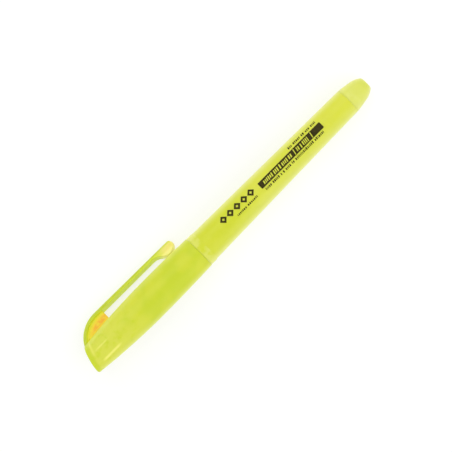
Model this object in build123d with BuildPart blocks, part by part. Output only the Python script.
from build123d import *
import os
from math import acos, asin, atan2, cos, hypot, sin, sqrt

os.makedirs("parts", exist_ok=True)

# A capped stick highlighter, lying on a table as it comes to rest by itself: on the belly of its
# cap, the lower edge of its pocket clip and the tail of its barrel. +X runs along the pen towards
# the tail, the clip lies on the +Y side and +Z is up. The origin is under the middle of the pen,
# on the table. Sizes are in millimetres. A station is a distance along the pen's own axis from
# the pointed end of the cap, and a radius is measured from that axis.

# ---------------------------------------------------------------- driving dimensions

pen_length = 138.0

# Outside of the cap: two arcs that meet at its belly, cut off by a slanted end
cap_end_radius = 4.85
cap_belly_station = 32.0
cap_belly_radius = 6.78
cap_mouth_station = 54.8
cap_mouth_radius = 6.4
cap_end_station = 1.4
cap_end_slope = 0.28
cap_end_wall = 1.4
mouth_rounding = 0.35

# Inside of the cap: it opens a little towards the mouth, and four ribs stand in its closed end
cavity_end_radius = 3.5
cavity_quarter_station = 12.0
cavity_quarter_radius = 4.7
cavity_middle_station = 30.0
cavity_middle_radius = 5.35
cavity_mouth_radius = 5.6
cap_rib_count = 4
cap_rib_radius = 3.2
cap_rib_thickness = 0.8
cap_rib_end_station = 12.9

# Fin and clip: a strip sweeps off the slanted end and becomes the clip's arm
clip_line_start_radius = 11.45
clip_line_fall = 0.0125
fin_sweep_radius = 11.5
fin_foot_height = 2.0
clip_thickness = 1.2
clip_root_width = 3.9
clip_tip_width = 3.3
clip_root_station = 16.6
clip_root_gap = 0.1
clip_arm_end_station = 48.9
clip_tip_station = 50.6
web_thickness = 1.7
web_end_station = 16.1
toe_station = 46.9
toe_radius = 6.9
toe_ramp_station = 41.4
clip_edge_rounding = 0.3

# Inner cap: a sealing cup that closes on the nib holder
cup_closed_station = 13.4
cup_open_station = 33.6
cup_wall = 0.8
cup_nose_radius = 3.5
cup_cone_station = 25.5
cup_seat_station = 30.5
seat_clearance = 0.08
cup_flange_length = 2.2
press_interference = 0.02

# Nib holder: a nose cone, a sealing seat, a flange and a sleeve with air grooves
holder_nose_station = 24.4
holder_nose_radius = 3.1
holder_cone_station = 27.4
holder_seat_station = 30.9
holder_seat_radius = 4.3
holder_flange_station = 34.0
holder_flange_radius = 4.85
holder_rear_station = 46.4
holder_rear_cup_station = 42.0
holder_rear_cup_radius = 3.3
air_groove_count = 4
air_groove_width = 0.7
air_groove_depth = 0.35

# Chisel nib: a round fibre rod with a wedge front, a slanted edge and a tapered tail
nib_radius = 2.2
nib_tip_station = 20.0
nib_edge_thickness = 1.5
nib_wedge_station = 24.2
nib_slant = 0.7
nib_tail_station = 49.0
nib_end_station = 52.5
nib_end_radius = 0.8

# Barrel: a neck under the cap, a shoulder ring and a long taper to the tail
barrel_front_station = 36.0
neck_front_radius = 5.15
neck_rear_radius = 5.35
neck_chamfer = 0.3
click_bead_station = 51.0
click_bead_radius = 5.47
click_bead_half_length = 0.9
shoulder_station = 54.9
shoulder_radius = 6.3
shoulder_ring_length = 2.4
shoulder_step_length = 0.6
barrel_shoulder_radius = 6.12
barrel_tail_radius = 4.97
seam_station = 129.0
seam_gap = 0.1
seam_chamfer = 0.15
barrel_wall = 0.9
tail_bore_radius = 4.1
tail_bore_station = 121.6
barrel_rib_count = 6
barrel_rib_radius = 4.06
barrel_rib_thickness = 0.7

# Ink reservoir: a fibre core in a thin film
reservoir_front_station = 46.6
reservoir_rear_station = 121.3
film_radius = 4.0
film_thickness = 0.12
film_setback = 0.5

# Tail plug: a rounded end, hollow inside, on a sleeve pressed into the barrel
plug_belly_station = 133.6
plug_belly_radius = 4.33
plug_shoulder_station = 136.7
plug_shoulder_radius = 3.3
plug_disc_radius = 2.25
plug_sleeve_radius = 4.1
plug_hollow_radius = 3.2
plug_hollow_station = 134.4
plug_hollow_rounding = 1.4

# ---------------------------------------------------------------- how the pen lies

# The table touches the arc of the cap's rear half and the barrel's tail edge, so the axis falls
# towards the tail
rear_arc_run = cap_mouth_station - cap_belly_station
rear_arc_drop = cap_belly_radius - cap_mouth_radius
rear_arc_radius = (rear_arc_run**2 + rear_arc_drop**2) / (2 * rear_arc_drop)
tail_reach = seam_station - seam_chamfer - cap_belly_station
tail_rise = rear_arc_radius - cap_belly_radius + barrel_tail_radius
pitch = atan2(tail_reach, tail_rise) - acos(rear_arc_radius / hypot(tail_reach, tail_rise))


def axis_height(station):
    """Height of the pen's axis over the table."""
    belly_height = rear_arc_radius - (rear_arc_radius - cap_belly_radius) * cos(pitch)
    return belly_height - (station - cap_belly_station) * sin(pitch)


def clip_line(station, inset=0.0):
    """Radius of the clip's outer face, or of a line at a depth inside it."""
    return clip_line_start_radius - clip_line_fall * station - inset * sqrt(1 + clip_line_fall**2)


# The pen rolls until the rounded lower edge of the clip, near its tip, meets the table
edge_reach = clip_line(toe_station) - clip_edge_rounding
edge_half_width = clip_tip_width / 2 - clip_edge_rounding
edge_drop = axis_height(toe_station) / cos(pitch) - clip_edge_rounding
roll = asin(edge_drop / hypot(edge_reach, edge_half_width)) - atan2(edge_half_width, edge_reach)

pen_axis = Vector(cos(pitch), 0, -sin(pitch))
lift = Vector(sin(pitch), 0, cos(pitch))
clip_side = Vector(0, cos(roll), 0) - lift * sin(roll)
facing = pen_axis.cross(clip_side)

widest_on_clip_side = clip_line(13.0) * cos(roll) + clip_root_width / 2 * sin(roll)
cap_end_point = Vector(
    -pen_length / 2 * cos(pitch),
    (cap_belly_radius - widest_on_clip_side) / 2,
    axis_height(0),
)

# In the clip's plane, sketch x is the station and sketch y the radius on the clip's side
clip_plane = Plane(origin=cap_end_point, x_dir=pen_axis, z_dir=facing)
top_plane = Plane(origin=cap_end_point, x_dir=pen_axis, z_dir=clip_side)
turning_axis = Axis(cap_end_point, pen_axis)


def on_pen(station, radius=0.0):
    """The point of the clip's plane at a station and a radius."""
    return cap_end_point + pen_axis * station + clip_side * radius


def across(station):
    """The plane square to the pen's axis at a station, with sketch x towards the clip."""
    return Plane(origin=on_pen(station), x_dir=clip_side, z_dir=pen_axis)


def slanted_end(depth):
    """The plane of the cap's slanted end, or one at a depth inside it, facing the pen."""
    start = cap_end_station + depth * sqrt(1 + cap_end_slope**2)
    return Plane(origin=on_pen(start), z_dir=pen_axis - clip_side * cap_end_slope)


def fin_corner(inset):
    """Where the slanted end's line and the clip's outer line cross, both moved in by an inset."""
    start = cap_end_station + inset * sqrt(1 + cap_end_slope**2)
    station = (start + cap_end_slope * clip_line(0, inset)) / (1 + cap_end_slope * clip_line_fall)
    return station, clip_line(station, inset)


def fin_foot(inset):
    """The low end of the slanted line, inside the cap's tube."""
    start = cap_end_station + inset * sqrt(1 + cap_end_slope**2)
    return start + cap_end_slope * fin_foot_height, fin_foot_height


# ---------------------------------------------------------------- cap shell

with BuildPart() as cap_cavity:
    with BuildSketch(clip_plane):
        with BuildLine():
            Polyline(
                (0, 0),
                (0, cavity_end_radius),
                (cavity_quarter_station, cavity_quarter_radius),
                (cavity_middle_station, cavity_middle_radius),
                (cap_mouth_station, cavity_mouth_radius),
                (cap_mouth_station, 0),
                close=True,
            )
        make_face()
    revolve(axis=turning_axis)
    split(bisect_by=slanted_end(cap_end_wall), keep=Keep.TOP)
    # The ribs are what the cavity leaves standing in the closed end
    with BuildSketch(across(0)):
        with PolarLocations(cap_rib_radius + cap_belly_radius / 2, cap_rib_count):
            Rectangle(cap_belly_radius, cap_rib_thickness)
    extrude(amount=cap_rib_end_station, mode=Mode.SUBTRACT)

with BuildPart() as cap_shell:
    # Fin: a strip as wide as the clip, carried by a thinner web
    with BuildSketch(clip_plane):
        with BuildLine():
            Polyline(
                fin_foot(0),
                fin_corner(0),
                (clip_root_station, clip_line(clip_root_station)),
                (clip_root_station, clip_line(clip_root_station, clip_thickness)),
                (web_end_station, clip_line(web_end_station, clip_thickness)),
                (web_end_station, fin_foot_height),
                close=True,
            )
        make_face()
        fillet(vertices().sort_by_distance(fin_corner(0))[0], fin_sweep_radius)
    extrude(amount=clip_root_width / 2, both=True)
    # Rounding the swept corner rounds the strip's outer edges all along, as they are tangent to it
    fillet(edges().filter_by(GeomType.CIRCLE), clip_edge_rounding)
    for side in (1, -1):
        with BuildSketch(clip_plane.offset(side * web_thickness / 2)):
            with BuildLine():
                Polyline(
                    fin_foot(cap_end_wall),
                    fin_corner(clip_thickness),
                    (clip_root_station, clip_line(clip_root_station, clip_thickness)),
                    (clip_root_station, fin_foot_height),
                    close=True,
                )
            make_face()
            inner_corner = vertices().sort_by_distance(fin_corner(clip_thickness))[0]
            fillet(inner_corner, fin_sweep_radius - clip_thickness)
        extrude(amount=side * clip_root_width, mode=Mode.SUBTRACT)
    # Tube: closed at the slanted end, open at the mouth
    with BuildSketch(clip_plane):
        with BuildLine():
            belly = (cap_belly_station, cap_belly_radius)
            mouth = (cap_mouth_station, cap_mouth_radius)
            TangentArc(belly, (0, cap_end_radius), tangent=(-1, 0))
            TangentArc(belly, mouth, tangent=(1, 0))
            Polyline(mouth, (cap_mouth_station, 0), (0, 0), (0, cap_end_radius))
        make_face()
    revolve(axis=turning_axis)
    split(bisect_by=slanted_end(0), keep=Keep.TOP)
    mouth_rim = edges().filter_by(GeomType.CIRCLE).sort_by(turning_axis)[-1]
    fillet(mouth_rim, mouth_rounding)
    add(cap_cavity.part, mode=Mode.SUBTRACT)
cap_shell.part.label = "cap_shell"
export_step(cap_shell.part, "parts/cap_shell.step")

# ---------------------------------------------------------------- pocket clip

arm_start = clip_root_station + clip_root_gap
with BuildPart() as pocket_clip:
    with BuildSketch(clip_plane):
        with BuildLine():
            arm_end = (clip_arm_end_station, clip_line(clip_arm_end_station))
            outer_face = Line((arm_start, clip_line(arm_start)), arm_end)
            along_clip = (1, -clip_line_fall)
            tip = Spline(
                arm_end,
                (clip_tip_station, (arm_end[1] + toe_radius) / 2 + 0.6),
                (toe_station, toe_radius),
                tangents=(along_clip, (-1, 0)),
            )
            ramp_end = (toe_ramp_station, clip_line(toe_ramp_station, clip_thickness))
            ramp = Spline(tip @ 1, ramp_end, tangents=((-1, 0), (-1, clip_line_fall)))
            Polyline(ramp_end, (arm_start, clip_line(arm_start, clip_thickness)), outer_face @ 0)
        make_face()
    extrude(amount=clip_root_width, both=True)
    # Seen from above, the clip narrows towards its rounded tip
    with BuildSketch(top_plane):
        with BuildLine():
            Polyline(
                (arm_start, -clip_root_width / 2),
                (clip_tip_station + 0.5, -clip_tip_width / 2),
                (clip_tip_station + 0.5, clip_tip_width / 2),
                (arm_start, clip_root_width / 2),
                close=True,
            )
        make_face()
        tip_corners = vertices().group_by(Axis.X)[-1]
        fillet(tip_corners, clip_tip_width * 0.4)
    extrude(amount=pen_length, mode=Mode.INTERSECT)
    root_face = faces().sort_by(turning_axis)[0]
    fillet(edges() - root_face.edges(), clip_edge_rounding)
pocket_clip.part.label = "pocket_clip"
export_step(pocket_clip.part, "parts/pocket_clip.step")

# ---------------------------------------------------------------- inner cap


def cavity_radius(station):
    """Radius of the cap's cavity between its middle and its mouth."""
    share = (station - cavity_middle_station) / (cap_mouth_station - cavity_middle_station)
    return cavity_middle_radius + share * (cavity_mouth_radius - cavity_middle_radius)


cup_seat_radius = holder_seat_radius + seat_clearance
cup_flange_station = cup_open_station - cup_flange_length
with BuildPart() as inner_cap:
    with BuildSketch(clip_plane):
        with BuildLine():
            Polyline(
                (cup_closed_station, 0),
                (cup_closed_station, cup_nose_radius + cup_wall),
                (cup_cone_station, cup_nose_radius + cup_wall),
                (cup_seat_station, cup_seat_radius + cup_wall / 2),
                (cup_flange_station, cup_seat_radius + cup_wall / 2),
                (cup_flange_station, cavity_radius(cup_flange_station) + press_interference),
                (cup_open_station, cavity_radius(cup_open_station) + press_interference),
                (cup_open_station, cup_seat_radius),
                (cup_seat_station, cup_seat_radius),
                (cup_cone_station, cup_nose_radius),
                (cup_closed_station + cup_wall, cup_nose_radius),
                (cup_closed_station + cup_wall, 0),
                close=True,
            )
        make_face()
    revolve(axis=turning_axis)
inner_cap.part.label = "inner_cap"
export_step(inner_cap.part, "parts/inner_cap.step")

# ---------------------------------------------------------------- nib holder

with BuildPart() as nib_holder:
    with BuildSketch(clip_plane):
        with BuildLine():
            Polyline(
                (holder_nose_station, nib_radius),
                (holder_nose_station, holder_nose_radius - neck_chamfer),
                (holder_nose_station + neck_chamfer, holder_nose_radius),
                (holder_cone_station, holder_nose_radius),
                (holder_seat_station, holder_seat_radius),
                (holder_flange_station, holder_seat_radius),
                (holder_flange_station, holder_flange_radius),
                (barrel_front_station, holder_flange_radius),
                (barrel_front_station, holder_seat_radius),
                (holder_rear_station, holder_seat_radius),
                (holder_rear_station, holder_rear_cup_radius),
                (holder_rear_cup_station, holder_rear_cup_radius),
                (holder_rear_cup_station, nib_radius),
                close=True,
            )
        make_face()
    revolve(axis=turning_axis)
    # Air grooves run along the sleeve and let air in past the reservoir as the ink leaves
    with BuildSketch(across(barrel_front_station)):
        with PolarLocations(holder_seat_radius, air_groove_count):
            Rectangle(2 * air_groove_depth, air_groove_width)
    extrude(amount=holder_rear_station - barrel_front_station, mode=Mode.SUBTRACT)
nib_holder.part.label = "nib_holder"
export_step(nib_holder.part, "parts/nib_holder.step")

# ---------------------------------------------------------------- chisel nib

with BuildPart() as chisel_nib:
    with BuildSketch(clip_plane):
        with BuildLine():
            Polyline(
                (nib_tip_station, 0),
                (nib_tip_station, nib_radius),
                (nib_tail_station, nib_radius),
                (nib_end_station, nib_end_radius),
                (nib_end_station, 0),
                close=True,
            )
        make_face()
    revolve(axis=turning_axis)
    # The slanted edge leans in the clip's plane, and its long corner is on the clip's side
    long_corner = on_pen(nib_tip_station, nib_radius)
    split(bisect_by=Plane(origin=long_corner, z_dir=pen_axis + clip_side * nib_slant), keep=Keep.TOP)
    # Two flats thin the front down to the writing edge
    flat_fall = (nib_radius - nib_edge_thickness / 2) / (nib_wedge_station - nib_tip_station)
    for side in (1, -1):
        flat_start = on_pen(nib_wedge_station) + facing * side * nib_radius
        flat = Plane(origin=flat_start, z_dir=facing * side - pen_axis * flat_fall)
        split(bisect_by=flat, keep=Keep.BOTTOM)
chisel_nib.part.label = "chisel_nib"
export_step(chisel_nib.part, "parts/chisel_nib.step")

# ---------------------------------------------------------------- barrel

taper_start = shoulder_station + shoulder_ring_length + shoulder_step_length


def barrel_outside(station):
    """Radius of the barrel's long taper."""
    share = (station - taper_start) / (seam_station - taper_start)
    return barrel_shoulder_radius + share * (barrel_tail_radius - barrel_shoulder_radius)


bead_start = click_bead_station - click_bead_half_length
bead_end = click_bead_station + click_bead_half_length
bead_foot_radius = (neck_front_radius + 4 * neck_rear_radius) / 5
with BuildPart() as barrel_cavity:
    with BuildSketch(clip_plane):
        with BuildLine():
            Polyline(
                (barrel_front_station, 0),
                (barrel_front_station, holder_seat_radius),
                (taper_start, holder_seat_radius),
                (taper_start + 2 * barrel_wall, barrel_outside(taper_start) - barrel_wall),
                (tail_bore_station - barrel_wall, barrel_outside(tail_bore_station) - barrel_wall),
                (tail_bore_station, tail_bore_radius),
                (seam_station, tail_bore_radius),
                (seam_station, 0),
                close=True,
            )
        make_face()
    revolve(axis=turning_axis)
    # The ribs that centre the reservoir are what the cavity leaves standing on the wall
    with BuildSketch(across(taper_start)):
        with PolarLocations(barrel_rib_radius + shoulder_radius / 2, barrel_rib_count):
            Rectangle(shoulder_radius, barrel_rib_thickness)
    extrude(amount=tail_bore_station - taper_start, mode=Mode.SUBTRACT)

with BuildPart() as barrel:
    with BuildSketch(clip_plane):
        with BuildLine():
            Polyline(
                (barrel_front_station, 0),
                (barrel_front_station, neck_front_radius - neck_chamfer),
                (barrel_front_station + neck_chamfer, neck_front_radius),
                (bead_start, bead_foot_radius),
                (click_bead_station - click_bead_half_length / 3, click_bead_radius),
                (click_bead_station + click_bead_half_length / 3, click_bead_radius),
                (bead_end, bead_foot_radius),
                (shoulder_station, neck_rear_radius),
                (shoulder_station, shoulder_radius - seam_chamfer),
                (shoulder_station + seam_chamfer, shoulder_radius),
                (shoulder_station + shoulder_ring_length, shoulder_radius),
                (taper_start, barrel_shoulder_radius),
                (seam_station - seam_chamfer, barrel_tail_radius),
                (seam_station, barrel_tail_radius - seam_chamfer),
                (seam_station, 0),
                close=True,
            )
        make_face()
    revolve(axis=turning_axis)
    add(barrel_cavity.part, mode=Mode.SUBTRACT)
barrel.part.label = "barrel"
export_step(barrel.part, "parts/barrel.step")

# ---------------------------------------------------------------- ink reservoir

with BuildPart() as reservoir_core:
    with BuildSketch(clip_plane):
        with BuildLine():
            Polyline(
                (reservoir_front_station, nib_radius),
                (reservoir_front_station, film_radius - film_thickness),
                (reservoir_rear_station, film_radius - film_thickness),
                (reservoir_rear_station, 0),
                (nib_end_station, 0),
                (nib_end_station, nib_end_radius),
                (nib_tail_station, nib_radius),
                close=True,
            )
        make_face()
    revolve(axis=turning_axis)
reservoir_core.part.label = "reservoir_core"
export_step(reservoir_core.part, "parts/reservoir_core.step")

with BuildPart() as reservoir_film:
    with BuildSketch(across(reservoir_front_station + film_setback)):
        Circle(film_radius)
        Circle(film_radius - film_thickness, mode=Mode.SUBTRACT)
    extrude(amount=reservoir_rear_station - reservoir_front_station - 2 * film_setback)
reservoir_film.part.label = "reservoir_film"
export_step(reservoir_film.part, "parts/reservoir_film.step")

# ---------------------------------------------------------------- tail plug

plug_face_station = seam_station + seam_gap
with BuildPart() as tail_plug:
    with BuildSketch(clip_plane):
        with BuildLine():
            rounded_end = Spline(
                (plug_face_station + seam_chamfer, barrel_tail_radius),
                (plug_belly_station, plug_belly_radius),
                (plug_shoulder_station, plug_shoulder_radius),
                (pen_length, plug_disc_radius),
            )
            Polyline(
                rounded_end @ 1,
                (pen_length, 0),
                (plug_hollow_station, 0),
                (plug_hollow_station, plug_hollow_radius - plug_hollow_rounding),
                (plug_hollow_station - plug_hollow_rounding, plug_hollow_radius),
                (reservoir_rear_station, plug_hollow_radius),
                (reservoir_rear_station, plug_sleeve_radius - seam_chamfer),
                (tail_bore_station, plug_sleeve_radius),
                (plug_face_station, plug_sleeve_radius),
                (plug_face_station, barrel_tail_radius - seam_chamfer),
                rounded_end @ 0,
            )
        make_face()
    revolve(axis=turning_axis)
tail_plug.part.label = "tail_plug"
export_step(tail_plug.part, "parts/tail_plug.step")
